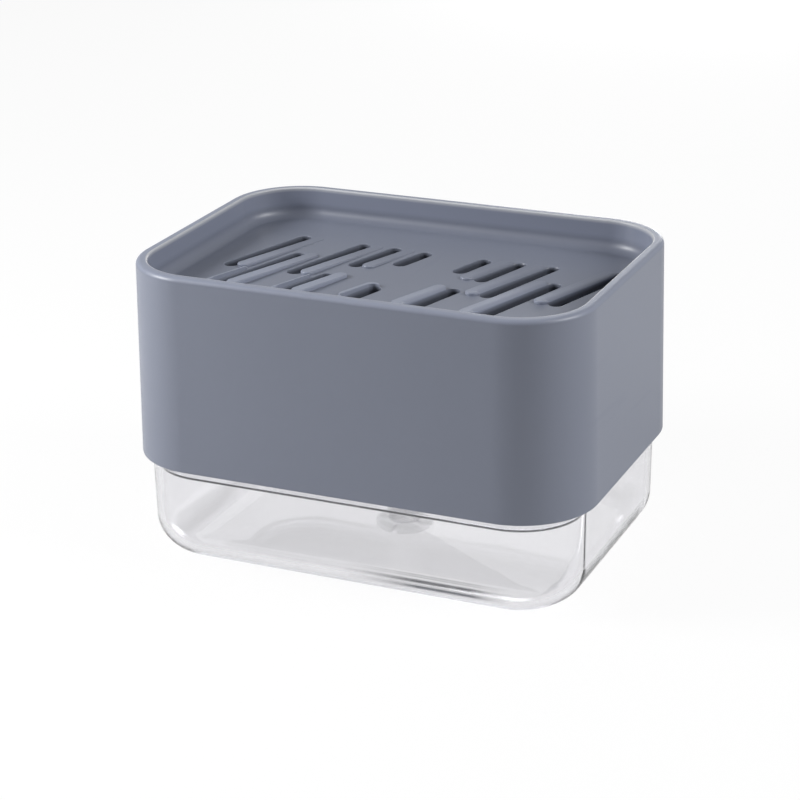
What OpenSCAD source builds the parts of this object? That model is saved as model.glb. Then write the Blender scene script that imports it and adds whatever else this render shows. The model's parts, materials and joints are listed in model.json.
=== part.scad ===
// Soap pump caddy: a slotted sponge dish with a deep skirt. Pressing the dish slides the
// skirt down over a clear soap reservoir and works the spring pump in the middle.
// Millimetres, +Z up. The origin is in the middle of the base, on the counter.

/* [Caddy shell] */
// Length across the foot of the skirt
shell_l = 147.2; // [135:0.1:165]
// Width across the foot of the skirt
shell_w = 105.6; // [98:0.1:120]
// Height of the rim above the counter
shell_top = 94; // [92:0.1:110]
// Height of the skirt's foot above the counter
skirt_foot = 32.5; // [26:0.1:34]
// How far each side leans in between the foot and the rim
skirt_lean = 1.1; // [0.6:0.1:1.6]
// Plan radius of the corners at the foot
corner_r = 24; // [20:0.1:28]
// Wall of the skirt
skirt_wall = 2; // [1.6:0.1:2.3]
// Edge radius at the foot of the skirt
foot_round = 0.5; // [0.3:0.1:0.7]

/* [Sponge dish] */
// Thickness of the rim
rim_t = 3.4; // [3.2:0.1:4.4]
// Edge radius along the outer side of the rim
rim_round = 1.5; // [1:0.1:2]
// Edge radius along the inner side of the rim
rim_edge = 0.5; // [0.3:0.1:0.6]
// Depth of the dish below the rim
dish_depth = 10; // [9.8:0.1:13]
// Thickness of the dish floor
dish_floor = 2.4; // [2:0.1:3]
// Fillet between the dish floor and its wall
dish_fillet = 3.5; // [3:0.1:9]
// Width of a drain slot
slot_w = 4.7; // [4.6:0.1:5.4]
// Distance from one slot to the next along the dish
slot_pitch = 10.9; // [10.4:0.1:11.6]
// Distance from the middle of the dish to the nearest line of slots on each side
slot_first = 10; // [9:0.1:10.2]
// Lean of the slots from the short way of the dish, in degrees
slot_lean = 16.7; // [10:0.1:20]
// Width of the raised rib beside a slot
rib_w = 4.2; // [3.6:0.1:4.6]
// Height of the ribs above the dish floor at their front ends
rib_h = 1.5; // [1:0.1:1.8]
// Height that is left of them at the back of the dish
rib_back_h = 0.1; // [0.1:0.1:0.5]
// Gap between a rib and its slot
rib_gap = 0.2; // [0.2:0.1:0.4]
// Width of the narrow lips on the left of the front slots
lip_w = 1.2; // [1:0.1:1.6]

/* [Reservoir] */
// Gap between the reservoir and the skirt around it
skirt_gap = 1; // [0.8:0.1:1.3]
// Height of the reservoir's rim above the counter
tub_h = 36; // [35:0.1:38]
// Wall of the reservoir
tub_wall = 2.2; // [1.8:0.1:2.6]
// Thickness of the reservoir floor
tub_floor = 2.4; // [2:0.1:3]
// Radius of the rounding along the base
tub_round = 11.5; // [8:0.1:12.5]
// How far each wall of the reservoir leans in at the base
tub_lean = 0.5; // [0.3:0.1:0.8]

/* [Reservoir lid] */
// Thickness of the lid
lid_t = 2.4; // [2:0.1:3]
// Height of the gutter rim on top of the lid
gutter_h = 2.6; // [1.5:0.1:4]
// Width of the gutter rim
gutter_t = 1.8; // [1.4:0.1:2.4]
// Depth of the flange that plugs the reservoir
plug_h = 7.7; // [6:0.1:9]
// Wall of the plug flange
plug_t = 2.6; // [2.4:0.1:3]
// Gap between the plug flange and the reservoir wall
plug_gap = 0.5; // [0.4:0.1:0.7]
// Thickness of the seal cord around the plug flange
seal_d = 2; // [1.8:0.1:2.2]
// Outer diameter of the tower that carries the pump
tower_d = 31; // [30:0.1:34]
// Wall of the tower
tower_wall = 2.6; // [2.2:0.1:3]
// Diameter of the two guide posts
post_d = 8; // [7:0.1:9]
// Distance of each guide post from the end of the skirt's foot
post_inset = 25.6; // [21:0.1:33]
// Length of post that stays inside its sleeve at rest
post_grip = 12; // [8:0.1:14]

/* [Pump] */
// Travel of the dish when it is pressed
press_travel = 7; // [6:0.1:7.4]
// Bore of the pump cylinder
bore_d = 18; // [17:0.1:19]
// Wall of the pump cylinder
cylinder_wall = 1.8; // [1.4:0.1:2]
// Height of the piston
piston_h = 7; // [6:0.1:8]
// Diameter of the stem
stem_d = 9; // [8.4:0.1:9.6]
// Bore of the stem
stem_bore = 3.2; // [2.8:0.1:3.4]
// Installed length of the return spring
spring_l = 12.4; // [12:0.1:14]
// Wire of the return spring
wire_d = 1.2; // [1:0.1:1.3]
// Mean diameter of the return spring
spring_d = 13.4; // [12.8:0.1:14]
// Diameter of the inlet ball
inlet_ball_d = 6; // [5.6:0.1:6.4]
// Diameter of the outlet ball
outlet_ball_d = 4.4; // [4.2:0.1:5]
// How far each ball can lift off its seat
ball_lift = 1.2; // [1:0.1:1.6]
// Outer diameter of the dip tube
tube_d = 10; // [9:0.1:10.6]
// Bore of the dip tube
tube_bore = 7; // [6:0.1:8]
// Diameter of the intake foot
foot_d = 18; // [16:0.1:20]
// Thickness of the intake foot's flange
foot_t = 2; // [1.8:0.1:2.6]

/* [Pump head] */
// Height of the pump head
head_h = 10; // [9.6:0.1:12]
// Diameter of the pump head's hub
head_d = 17; // [16:0.1:18]
// Width of the arm that carries the soap to the outlet
arm_w = 7; // [6.4:0.1:8]
// Height of the arm
arm_h = 6; // [5:0.1:6.4]
// Bore of the soap channel
channel_d = 2.6; // [2:0.1:3]
// Diameter of the outlet valve
valve_d = 3.9; // [3.6:0.1:4]
// Depth of the outlet valve's tip below the dish floor
valve_sink = 0.8; // [0.4:0.1:1.2]

/* [Hidden] */
$fn = 64;

// Clearances: pressed together, running, loose, and stops that never meet
fit_clear = 0.05;
run_clear = 0.1;
loose_clear = 0.4;
stop_clear = 1;
floor_clear = 0.3;
// Overrun of a cut past the faces that it leaves
over = 1;

// Corner centres that the shell, the reservoir and the lid share
centre_x = shell_l / 2 - corner_r;
centre_y = shell_w / 2 - corner_r;

// Heights of the shell and its dish
rim_r = corner_r - skirt_lean;
dish_z = shell_top - dish_depth;
under_z = dish_z - dish_floor;
dish_r = rim_r - rim_t;

// Each slot: its line counted from the middle, and its ends as shares of half the dish's width
slot_front_share = -0.54;
slot_back_share = 0.585;
slot_shares = [
    [5, -0.17, slot_back_share], [4, slot_front_share, 0.24], [3, -0.17, 0.56], [2, 0.1, 0.56],
    [2, slot_front_share, -0.08], [1, 0.215, 0.54]
];
middle_slot_shares = [slot_front_share, -0.22];
dish_half_w = centre_y + dish_r;

// Ribs: one plane, falling toward the back, passes through all their tops
rib_inset = (slot_w / 2 + rib_gap + rib_w / 2) / cos(slot_lean);
rib_run = (slot_back_share - slot_front_share) * dish_half_w;
rib_fall = atan2(rib_h - rib_back_h, rib_run);
lip_inset = (slot_w / 2 + rib_gap + lip_w / 2) / cos(slot_lean);
lip_lines = [2, 4];
lip_back_share = -0.19;

// Reservoir
tub_r = corner_r - skirt_wall - skirt_gap;
tub_base_r = tub_r - tub_lean;
lid_z = tub_h;
lid_top = lid_z + lid_t;
plug_r = tub_r - tub_wall - plug_gap;
plug_z = lid_z - plug_h;
lid_join_r = plug_r - plug_t;
groove_share = 0.494;
groove_z = plug_z + plug_h * groove_share;
groove_r = plug_r + plug_gap - seal_d - 2 * run_clear;
vent_d = 1.6;

// Pump head and everything below it, counted down from the dish
head_z = under_z - head_h;
cap_top = head_z - press_travel - stop_clear;
cap_t = 2;
guide_t = 1.6;
flange_t = 2;
gasket_t = 1.2;
guide_z = cap_top - cap_t - guide_t;
wiper_t = 0.8;
wiper_w = 1.6;
flange_z = guide_z - flange_t;
tower_top = flange_z - gasket_t;
tower_r = tower_d / 2;
cap_wall = 1.8;
cap_r = tower_r + loose_clear + cap_wall;
cap_h = 9;
bead_r = 0.5;
bead_rise = 1.1;
bead_z = cap_top - cap_h + bead_rise;

// Inside of the cylinder
bore_r = bore_d / 2;
cylinder_r = bore_r + cylinder_wall;
guide_barrel = 1;
piston_top = flange_z + flange_t - guide_barrel - floor_clear;
piston_z = piston_top - piston_h;
piston_r = bore_r - loose_clear;
seal_w = 2.4;
seal_t = 1.6;
seal_z = piston_z + (piston_h - seal_w) / 2;
cage_t = 1.5;
cage_holes = 5;
cage_hole_r = 1.2;
cage_z = piston_z - spring_l - cage_t;
ball_room = 0.6;
chamber_r = inlet_ball_d / 2 + ball_room;
seat_r = 2.2;
seat_h = sqrt(pow(inlet_ball_d / 2, 2) - pow(seat_r, 2));
chamber_h = seat_h + inlet_ball_d / 2 + ball_lift + ball_room;
seat_z = cage_z - chamber_h;
seat_t = 1.5;
socket_r = tube_d / 2 + fit_clear;
socket_h = 5;
hub_wall = 2;
hub_r = max(socket_r, chamber_r) + hub_wall;
hub_z = seat_z - seat_t - socket_h;
tube_top = seat_z - seat_t;

// Return spring: one unbroken wire, with both ends close to their seats
spring_turns = 3;
turn_sides = 10;
wire_sides = 6;
wire_gap = 0.02;
spring_z = cage_z + cage_t + wire_d / 2 + wire_gap;
spring_rise = spring_l - wire_d - 2 * wire_gap;
spring_rings = spring_turns * turn_sides;

// Intake foot on the reservoir floor
foot_z = tub_floor + floor_clear;
foot_sleeve_h = 2.4;
foot_sleeve_t = 1.2;
inlet_w = 2.4;
inlet_share = 0.6;

// Stem and outlet
stem_r = stem_d / 2;
stem_step = 1.2;
seat_rise = sqrt(pow(outlet_ball_d / 2, 2) - pow(stem_bore / 2, 2));
roof_t = 1.2;
stem_top = under_z - roof_t - ball_lift - outlet_ball_d / 2 - seat_rise - ball_room;
outlet_chamber_r = outlet_ball_d / 2 + ball_room;
arm_z = under_z - roof_t - arm_h;
channel_z = arm_z + arm_h / 2;
outlet_share = -0.46;
outlet_y = dish_half_w * outlet_share;
outlet_x = outlet_y * tan(slot_lean);
arm_l = norm([outlet_x, outlet_y]);
arm_turn = atan2(outlet_y, outlet_x);
valve_top = dish_z - valve_sink;
valve_wall = 0.55;
valve_slit = 0.3;
valve_slit_l = 2;
riser_top = valve_top - valve_wall;
stopper_l = 1.3;
stopper_head_d = 3.9;
stopper_head_t = 0.6;
head_grip = 5;

// Guides
post_r = post_d / 2;
post_x = shell_l / 2 - post_inset;
bush_t = 1;
bush_r = post_r + run_clear + bush_t;
sleeve_t = 1.8;
sleeve_r = bush_r + sleeve_t;
post_clear = 2;
post_top = under_z - press_travel - post_clear;
sleeve_z = post_top - post_grip;
bush_lip = 0.8;

// One corner and one straight side of a wall outline, carried all the way round
module around() {
    for (turn = [0 : 3])
        translate([(turn == 0 || turn == 3 ? 1 : -1) * centre_x, (turn < 2 ? 1 : -1) * centre_y, 0])
            rotate([0, 0, turn * 90])
                rotate_extrude(angle = 90)
                    children();
    for (side = [0, 180]) {
        rotate([0, 0, side])
            translate([centre_x, centre_y, 0])
                rotate([90, 0, 0])
                    linear_extrude(height = 2 * centre_y)
                        children();
        rotate([0, 0, side])
            translate([-centre_x, centre_y, 0])
                rotate([90, 0, 90])
                    linear_extrude(height = 2 * centre_x)
                        children();
    }
}

// Rounded rectangle whose corners have radius r about the shared corner centres
module plan(r) {
    square([2 * (centre_x + r), 2 * centre_y], center = true);
    square([2 * centre_x, 2 * (centre_y + r)], center = true);
    for (x = [-1, 1], y = [-1, 1])
        translate([x * centre_x, y * centre_y])
            circle(r = r);
}

// Flat slab of that outline
module slab(r, z, t) {
    translate([0, 0, z])
        linear_extrude(height = t)
            plan(r);
}

// Round tube
module tube(r_out, r_in, z, h) {
    translate([0, 0, z])
        difference() {
            cylinder(r = r_out, h = h);
            translate([0, 0, -over])
                cylinder(r = r_in, h = h + 2 * over);
        }
}

// Oblong with round ends, from y0 to y1 along a leaning line that crosses the middle at x0
module oblong(x0, y0, y1, w) {
    length = (y1 - y0) / cos(slot_lean);
    translate([x0 + y0 * tan(slot_lean), y0])
        rotate([0, 0, -slot_lean]) {
            translate([-w / 2, w / 2])
                square([w, length - w]);
            for (y = [w / 2, length - w / 2])
                translate([0, y])
                    circle(d = w, $fn = 32);
        }
}

function line_x(line) = slot_first + (line - 1) * slot_pitch;

module slots() {
    for (s = slot_shares, side = [-1, 1])
        oblong(side * line_x(s[0]), s[1] * dish_half_w, s[2] * dish_half_w, slot_w);
}

// The middle slot; beside, moved to the left and back, it leaves the lip round its upper end
module middle_slot(beside) {
    oblong(-beside, middle_slot_shares[0] * dish_half_w, middle_slot_shares[1] * dish_half_w + beside,
           slot_w);
}

// Ribs beside all but the nearest slots, on their inner side, and the lips
module ribs() {
    for (s = slot_shares, side = [-1, 1])
        if (s[0] > 1)
            oblong(side * (line_x(s[0]) - rib_inset), s[1] * dish_half_w, s[2] * dish_half_w, rib_w);
    for (line = lip_lines)
        oblong(-line_x(line) - lip_inset, slot_front_share * dish_half_w, lip_back_share * dish_half_w,
               lip_w);
    difference() {
        middle_slot(lip_w);
        middle_slot(0);
    }
}

// Cross-section of the shell's wall, from the foot of the skirt to the rim
module shell_outline() {
    difference() {
        union() {
            polygon([
                [corner_r - skirt_wall, skirt_foot],
                [corner_r - foot_round, skirt_foot],
                [corner_r, skirt_foot + foot_round],
                [rim_r, shell_top - rim_round],
                [rim_r - skirt_wall, shell_top - rim_round]
            ]);
            translate([dish_r, under_z])
                square([rim_t - rim_round / 2, dish_depth + dish_floor - rim_round]);
            translate([dish_r, under_z])
                square([rim_t - rim_round, dish_depth + dish_floor - rim_edge]);
            translate([dish_r + rim_edge, dish_z])
                square([rim_t - rim_edge - rim_round, dish_depth]);
            translate([dish_r + rim_edge, shell_top - rim_edge])
                circle(r = rim_edge);
            translate([rim_r - rim_round, shell_top - rim_round])
                circle(r = rim_round);
            translate([dish_r - dish_fillet, under_z])
                square([dish_fillet + rim_round, dish_floor + dish_fillet]);
        }
        translate([dish_r - dish_fillet, dish_z + dish_fillet])
            circle(r = dish_fillet);
        translate([dish_r - 2 * dish_fillet, dish_z + dish_fillet])
            square([2 * dish_fillet, dish_fillet]);
        translate([dish_r - 2 * dish_fillet, dish_z])
            square([dish_fillet, dish_fillet]);
    }
}

module caddy_shell() {
    color([0.42, 0.46, 0.53]) {
        difference() {
            union() {
                around() shell_outline();
                slab(dish_r - dish_fillet, under_z, dish_floor);
                tube(head_d / 2 + run_clear + sleeve_t, head_d / 2 + run_clear, under_z - head_grip,
                     head_grip);
                for (x = [-post_x, post_x])
                    translate([x, 0, 0])
                        tube(sleeve_r, bush_r + fit_clear, sleeve_z, under_z - sleeve_z);
            }
            translate([0, 0, under_z - over])
                linear_extrude(height = dish_floor + 2 * over) {
                    slots();
                    middle_slot(0);
                }
            // Way through the head socket for the arm
            rotate([0, 0, arm_turn])
                translate([0, -arm_w / 2 - loose_clear, arm_z - loose_clear])
                    cube([head_d, arm_w + 2 * loose_clear, under_z - arm_z + loose_clear]);
        }
        intersection() {
            translate([0, 0, dish_z])
                linear_extrude(height = rib_h + over)
                    ribs();
            translate([0, slot_front_share * dish_half_w, dish_z + rib_h])
                rotate([-rib_fall, 0, 0])
                    translate([-centre_x - rim_r, -over, -dish_depth])
                        cube([2 * (centre_x + rim_r), 2 * rib_run, dish_depth]);
        }
    }
}

module guide_bush(x) {
    color([0.9, 0.9, 0.88])
        translate([x, 0, 0]) {
            tube(bush_r, post_r + run_clear, sleeve_z, post_grip);
            tube(sleeve_r, post_r + run_clear, sleeve_z - bush_lip, bush_lip);
        }
}

module guide_bush_left() {
    guide_bush(-post_x);
}

module guide_bush_right() {
    guide_bush(post_x);
}

module pump_head() {
    color([0.88, 0.89, 0.9])
        difference() {
            union() {
                translate([0, 0, head_z])
                    cylinder(r = head_d / 2, h = head_h);
                rotate([0, 0, arm_turn])
                    translate([0, -arm_w / 2, arm_z])
                        cube([arm_l + arm_w / 2, arm_w, arm_h]);
                translate([outlet_x, outlet_y, arm_z])
                    cylinder(r = valve_d / 2 - valve_wall, h = riser_top - arm_z);
            }
            // Socket for the stem, then the room for the outlet ball
            translate([0, 0, head_z - over])
                cylinder(r = stem_r + fit_clear, h = stem_top - head_z + over);
            translate([0, 0, stem_top - fit_clear])
                cylinder(r = outlet_chamber_r, h = under_z - roof_t - stem_top + fit_clear);
            // Channel along the arm and up the riser
            rotate([0, 0, arm_turn])
                translate([0, 0, channel_z])
                    rotate([0, 90, 0])
                        cylinder(d = channel_d, h = arm_l + arm_w);
            translate([outlet_x, outlet_y, channel_z])
                cylinder(r = valve_d / 2 - 2 * valve_wall, h = riser_top - channel_z + over);
        }
}

module channel_plug() {
    color([0.88, 0.89, 0.9])
        rotate([0, 0, arm_turn])
            translate([arm_l + arm_w / 2 - stopper_l, 0, channel_z])
                rotate([0, 90, 0]) {
                    cylinder(d = channel_d - 2 * fit_clear, h = stopper_l);
                    translate([0, 0, stopper_l])
                        cylinder(d = stopper_head_d, h = stopper_head_t);
                }
}

module outlet_valve() {
    color([0.16, 0.17, 0.19])
        translate([outlet_x, outlet_y, 0])
            difference() {
                translate([0, 0, under_z + fit_clear])
                    cylinder(d = valve_d, h = valve_top - under_z - fit_clear);
                translate([0, 0, under_z - over])
                    cylinder(r = valve_d / 2 - valve_wall + fit_clear, h = riser_top - under_z + over);
                translate([-valve_slit_l / 2, -valve_slit / 2, riser_top - over])
                    cube([valve_slit_l, valve_slit, valve_wall + 2 * over]);
            }
}

module outlet_ball() {
    color([0.75, 0.76, 0.78])
        translate([0, 0, stem_top + seat_rise + fit_clear])
            sphere(d = outlet_ball_d);
}

module stem() {
    color([0.92, 0.92, 0.9])
        difference() {
            union() {
                translate([0, 0, piston_z])
                    cylinder(r = stem_r - stem_step, h = piston_h + over);
                translate([0, 0, piston_top])
                    cylinder(r = stem_r, h = stem_top - piston_top);
            }
            translate([0, 0, piston_z - over])
                cylinder(d = stem_bore, h = stem_top - piston_z + 2 * over);
        }
}

module piston() {
    color([0.3, 0.45, 0.7])
        difference() {
            translate([0, 0, piston_z])
                cylinder(r = piston_r, h = piston_h);
            translate([0, 0, piston_z - over])
                cylinder(r = stem_r - stem_step + fit_clear, h = piston_h + 2 * over);
            tube(bore_r, piston_r - seal_t, seal_z, seal_w);
        }
}

module piston_seal() {
    color([0.15, 0.15, 0.16])
        tube(bore_r - fit_clear, piston_r - seal_t + fit_clear, seal_z + fit_clear, seal_w - 2 * fit_clear);
}

function spring_point(s, a) =
    let (turn = 360 * spring_turns * s, r = spring_d / 2 + wire_d / 2 * cos(a))
    [r * cos(turn), r * sin(turn), spring_z + spring_rise * s + wire_d / 2 * sin(a)];

module return_spring() {
    points = [for (i = [0 : spring_rings], j = [0 : wire_sides - 1])
        spring_point(i / spring_rings, 360 * j / wire_sides)];
    sides = [for (i = [0 : spring_rings - 1], j = [0 : wire_sides - 1])
        let (a = i * wire_sides + j, b = i * wire_sides + (j + 1) % wire_sides)
        each [[a, b, a + wire_sides], [b, b + wire_sides, a + wire_sides]]];
    first = [for (j = [1 : wire_sides - 2]) [0, j + 1, j]];
    last_ring = spring_rings * wire_sides;
    last = [for (j = [1 : wire_sides - 2]) [last_ring, last_ring + j, last_ring + j + 1]];
    color([0.7, 0.72, 0.75])
        polyhedron(points = points, faces = concat(sides, first, last));
}

module stem_wiper() {
    color([0.15, 0.15, 0.16])
        tube(stem_r + wiper_w, stem_r + run_clear, guide_z + guide_t - wiper_t, wiper_t);
}

module stem_guide() {
    color([0.92, 0.92, 0.9])
        difference() {
            union() {
                translate([0, 0, guide_z])
                    cylinder(r = tower_r, h = guide_t);
                translate([0, 0, guide_z - guide_barrel])
                    cylinder(r = bore_r - fit_clear, h = guide_barrel);
            }
            translate([0, 0, guide_z - guide_barrel - over])
                cylinder(r = stem_r + run_clear, h = guide_t + guide_barrel + 2 * over);
            translate([0, 0, guide_z + guide_t - wiper_t])
                cylinder(r = stem_r + wiper_w + fit_clear, h = wiper_t + over);
        }
}

module retaining_cap() {
    color([0.92, 0.92, 0.9]) {
        tube(cap_r, stem_r + loose_clear, cap_top - cap_t, cap_t);
        difference() {
            tube(cap_r, cap_r - cap_wall, cap_top - cap_h, cap_h - cap_t);
            translate([0, 0, bead_z])
                rotate_extrude()
                    translate([tower_r, 0])
                        circle(r = bead_r + loose_clear);
        }
    }
}

module pump_cylinder() {
    color([0.93, 0.93, 0.92])
        difference() {
            union() {
                translate([0, 0, cage_z - cylinder_wall])
                    cylinder(r = cylinder_r, h = flange_z - cage_z + cylinder_wall);
                translate([0, 0, flange_z])
                    cylinder(r = tower_r, h = flange_t);
                translate([0, 0, hub_z])
                    cylinder(r = hub_r, h = cage_z - hub_z);
            }
            translate([0, 0, cage_z])
                cylinder(r = bore_r, h = flange_z + flange_t - cage_z + over);
            translate([0, 0, seat_z])
                cylinder(r = chamber_r, h = chamber_h + over);
            translate([0, 0, hub_z - over])
                cylinder(r = seat_r, h = seat_z - hub_z + 2 * over);
            translate([0, 0, hub_z - over])
                cylinder(r = socket_r, h = socket_h + over);
        }
}

module cylinder_gasket() {
    color([0.15, 0.15, 0.16])
        tube(tower_r, tower_r - tower_wall, tower_top, gasket_t);
}

module inlet_ball() {
    color([0.75, 0.76, 0.78])
        translate([0, 0, seat_z + seat_h + fit_clear])
            sphere(d = inlet_ball_d);
}

module inlet_ball_cage() {
    color([0.92, 0.92, 0.9])
        difference() {
            translate([0, 0, cage_z])
                cylinder(r = bore_r - fit_clear, h = cage_t);
            for (i = [1 : cage_holes])
                rotate([0, 0, 360 * i / cage_holes])
                    translate([chamber_r - cage_hole_r, 0, cage_z - over])
                        cylinder(r = cage_hole_r, h = cage_t + 2 * over);
        }
}

module dip_tube() {
    color([0.9, 0.92, 0.92])
        tube(tube_d / 2, tube_bore / 2, foot_z + foot_t, tube_top - foot_z - foot_t);
}

module intake_foot() {
    color([0.93, 0.93, 0.92])
        difference() {
            union() {
                translate([0, 0, foot_z])
                    cylinder(d = foot_d, h = foot_t);
                translate([0, 0, foot_z + foot_t])
                    cylinder(r = socket_r + foot_sleeve_t, h = foot_sleeve_h);
            }
            translate([0, 0, foot_z + foot_t])
                cylinder(r = socket_r, h = foot_sleeve_h + over);
            translate([0, 0, foot_z - over])
                cylinder(d = tube_bore, h = foot_t + 2 * over);
            // Inlets under the flange
            for (turn = [0, 90])
                rotate([0, 0, turn])
                    translate([-foot_d, -inlet_w / 2, foot_z - over])
                        cube([2 * foot_d, inlet_w, over + foot_t * inlet_share]);
        }
}

// Edge of the lid: the plate's margin, the gutter rim above it, and the grooved plug flange below
module lid_outline() {
    difference() {
        union() {
            translate([lid_join_r, lid_z])
                square([tub_r - lid_join_r, lid_t]);
            translate([tub_r - gutter_t, lid_z])
                square([gutter_t, lid_t + gutter_h]);
            translate([lid_join_r, plug_z])
                square([plug_t, plug_h + lid_t]);
        }
        translate([groove_r, groove_z - seal_d / 2 - run_clear])
            square([plug_r - groove_r + over, seal_d + 2 * run_clear]);
    }
}

module reservoir_lid() {
    color([0.9, 0.91, 0.92])
        difference() {
            union() {
                around() lid_outline();
                slab(lid_join_r, lid_z, lid_t);
                translate([0, 0, lid_z])
                    cylinder(r = tower_r, h = tower_top - lid_z);
                translate([0, 0, bead_z])
                    rotate_extrude()
                        translate([tower_r, 0])
                            circle(r = bead_r, $fn = 24);
                for (x = [-post_x, post_x])
                    translate([x, 0, lid_z])
                        cylinder(r = post_r, h = post_top - lid_z);
            }
            translate([0, 0, lid_z - over])
                cylinder(r = tower_r - tower_wall, h = tower_top - lid_z + 2 * over);
            // Vent high in the tower, which lets air into the reservoir
            translate([0, 0, (lid_top + bead_z) / 2])
                rotate([-90, 0, 0])
                    cylinder(d = vent_d, h = tower_d);
        }
}

module lid_seal() {
    color([0.75, 0.77, 0.79])
        around()
            translate([plug_r + plug_gap - run_clear - seal_d / 2, groove_z])
                circle(d = seal_d, $fn = 24);
}

module tub_outline() {
    difference() {
        union() {
            polygon([
                [tub_base_r - tub_round, 0],
                [tub_base_r, tub_round],
                [tub_r, tub_h],
                [tub_r - tub_wall, tub_h],
                [tub_base_r - tub_round, tub_round]
            ]);
            intersection() {
                translate([tub_base_r - tub_round, tub_round])
                    circle(r = tub_round);
                translate([tub_base_r - tub_round, 0])
                    square(tub_round);
            }
        }
        intersection() {
            translate([tub_base_r - tub_round, tub_round])
                circle(r = tub_round - tub_wall);
            translate([tub_base_r - tub_round, tub_floor])
                square(tub_round);
        }
        polygon([
            [tub_base_r - tub_round, tub_round],
            [tub_base_r - tub_wall, tub_round],
            [tub_r - tub_wall, tub_h + over],
            [tub_base_r - tub_round, tub_h + over]
        ]);
    }
}

module reservoir() {
    color([0.85, 0.87, 0.9, 0.35]) {
        around() tub_outline();
        slab(tub_base_r - tub_round, 0, tub_floor);
    }
}

caddy_shell();
guide_bush_left();
guide_bush_right();
pump_head();
channel_plug();
outlet_valve();
outlet_ball();
stem();
piston();
piston_seal();
return_spring();
stem_wiper();
stem_guide();
retaining_cap();
pump_cylinder();
cylinder_gasket();
inlet_ball();
inlet_ball_cage();
dip_tube();
intake_foot();
reservoir_lid();
lid_seal();
reservoir();
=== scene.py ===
import json
import math

import bmesh
import bpy
from mathutils import Matrix, Vector


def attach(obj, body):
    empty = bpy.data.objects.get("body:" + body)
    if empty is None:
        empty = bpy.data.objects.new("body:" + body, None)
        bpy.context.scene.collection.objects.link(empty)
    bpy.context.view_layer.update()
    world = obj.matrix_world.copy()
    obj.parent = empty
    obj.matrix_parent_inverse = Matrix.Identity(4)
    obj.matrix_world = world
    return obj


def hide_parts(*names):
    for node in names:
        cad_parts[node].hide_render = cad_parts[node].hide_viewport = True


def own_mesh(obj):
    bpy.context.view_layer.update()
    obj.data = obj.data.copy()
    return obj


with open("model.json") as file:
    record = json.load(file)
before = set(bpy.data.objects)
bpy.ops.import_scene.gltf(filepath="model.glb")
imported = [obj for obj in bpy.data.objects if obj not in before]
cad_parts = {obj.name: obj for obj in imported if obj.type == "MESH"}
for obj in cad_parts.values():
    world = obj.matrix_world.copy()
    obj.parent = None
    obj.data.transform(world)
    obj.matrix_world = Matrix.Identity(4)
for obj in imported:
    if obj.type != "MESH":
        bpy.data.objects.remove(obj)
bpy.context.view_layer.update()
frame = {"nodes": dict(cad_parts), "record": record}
mm = 0.001
tiny = 1e-6  # points closer than this count as one

# Camera, as the photograph was taken
view = {
    "azimuth": 24.0, "elevation": 21.326, "roll": -0.914, "lens": 105.306, "sensor": 36.0,
    "distance": 725.93 * mm, "aim": Vector((0, 0, 45 * mm)), "right": 1.338 * mm, "up": 0.75 * mm,
    "clip": (0.05, 50),
}

# Corner centres that the shell, the tub and the lid share
corners = {"x": 49.6 * mm, "y": 28.8 * mm, "steps": 24}

# Segments of a rounded corner, from the finest edge to the widest round, and sides of a full round
arcs = {"least": 2, "fine": 3, "edge": 4, "soft": 5, "full": 6, "rim": 8, "fillet": 12, "base": 16}
rounds = {"vent": 24, "channel": 32, "post": 48, "hub": 64, "tower": 96}
smoothAngle = 35


# Mesh helpers
def newPiece(name, bm):
    mesh = bpy.data.meshes.new(name)
    bm.to_mesh(mesh)
    bm.free()
    piece = bpy.data.objects.new(name, mesh)
    bpy.context.scene.collection.objects.link(piece)
    return piece


def pick(geometry, kind):
    return [g for g in geometry if isinstance(g, kind)]


def fillHoles(bm):
    bmesh.ops.holes_fill(bm, edges=[e for e in bm.edges if e.is_boundary], sides=0)
    bmesh.ops.recalc_face_normals(bm, faces=bm.faces[:])


def outline(bm, points, y=0.0, closed=False):
    # points: x, z, corner radius, segments of that corner
    verts = [bm.verts.new((x, y, z)) for x, z, r, n in points]
    for a, b in zip(verts, verts[1:] + verts[:1] if closed else verts[1:]):
        bm.edges.new((a, b))
    for vert, (x, z, r, n) in zip(verts, points):
        if r > 0:
            bmesh.ops.bevel(bm, geom=[vert], offset=r, offset_type="OFFSET", segments=n, profile=0.5,
                            affect="VERTICES", clamp_overlap=False, material=-1)
    return bm.edges[:]


def sweptPiece(name, points):
    # the outline turns through each corner and runs along each side, then both openings are filled
    bm = bmesh.new()
    cx, cy = corners["x"], corners["y"]
    edges = outline(bm, [(cx + u, z, r, n) for u, z, r, n in points], cy)
    ways = [(-2 * cx, 0, 0), (0, -2 * cy, 0), (2 * cx, 0, 0), (0, 2 * cy, 0)]
    for (x, y), way in zip([(cx, cy), (-cx, cy), (-cx, -cy), (cx, -cy)], ways):
        spun = bmesh.ops.spin(bm, geom=edges, cent=(x, y, 0), axis=(0, 0, 1), angle=math.pi / 2,
                              steps=corners["steps"], use_duplicate=False)
        edges = pick(spun["geom_last"], bmesh.types.BMEdge)
        drawn = bmesh.ops.extrude_edge_only(bm, edges=edges)["geom"]
        bmesh.ops.translate(bm, vec=way, verts=pick(drawn, bmesh.types.BMVert))
        edges = pick(drawn, bmesh.types.BMEdge)
    bmesh.ops.remove_doubles(bm, verts=bm.verts[:], dist=tiny)
    fillHoles(bm)
    return newPiece(name, bm)


def turnOutline(bm, steps):
    # a closed outline turned once round the upright axis
    bmesh.ops.spin(bm, geom=bm.edges[:] + bm.verts[:], cent=(0, 0, 0), axis=(0, 0, 1),
                   angle=2 * math.pi, steps=steps, use_merge=True, use_duplicate=False)
    bmesh.ops.remove_doubles(bm, verts=bm.verts[:], dist=tiny)


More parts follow.
